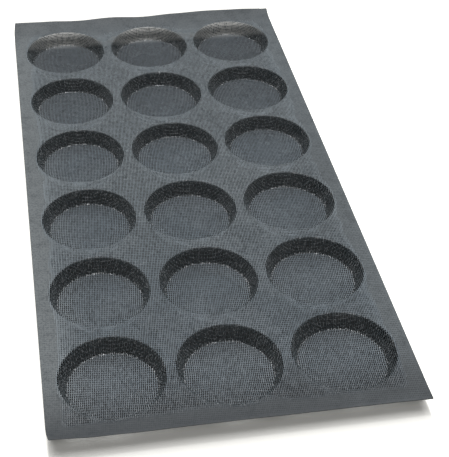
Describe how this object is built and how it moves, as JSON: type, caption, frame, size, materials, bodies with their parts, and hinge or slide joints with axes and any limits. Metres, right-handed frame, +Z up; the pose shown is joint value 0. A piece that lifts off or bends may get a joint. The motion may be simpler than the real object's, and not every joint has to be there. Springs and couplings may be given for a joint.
{
  "type": "burger bun mould",
  "caption": "Flexible baking sheet of silicone-coated open mesh, formed into a grid of shallow round cups for burger buns, with a smooth solid border.",
  "frame": {"origin": "middle of the sheet, on the plane of the undersides of the cup floors", "axes": "+Z up out of the cups, +Y along the long side towards row 1, +X across the sheet towards column 3"},
  "size_m": [0.39, 0.79, 0.0192],
  "materials": {
    "mesh_cloth": "matte dark grey silicone over an open plain-woven glass mesh",
    "border_silicone": "satin dark grey solid silicone"
  },
  "bodies": {
    "root": {"cup_r1_c1": "mesh_cloth", "cup_r1_c2": "mesh_cloth", "cup_r1_c3": "mesh_cloth", "cup_r2_c1": "mesh_cloth", "cup_r2_c2": "mesh_cloth", "cup_r2_c3": "mesh_cloth", "cup_r3_c1": "mesh_cloth", "cup_r3_c2": "mesh_cloth", "cup_r3_c3": "mesh_cloth", "cup_r4_c1": "mesh_cloth", "cup_r4_c2": "mesh_cloth", "cup_r4_c3": "mesh_cloth", "cup_r5_c1": "mesh_cloth", "cup_r5_c2": "mesh_cloth", "cup_r5_c3": "mesh_cloth", "cup_r6_c1": "mesh_cloth", "cup_r6_c2": "mesh_cloth", "cup_r6_c3": "mesh_cloth", "deck": "mesh_cloth", "border_band": "border_silicone"}
  },
  "joints": []
}
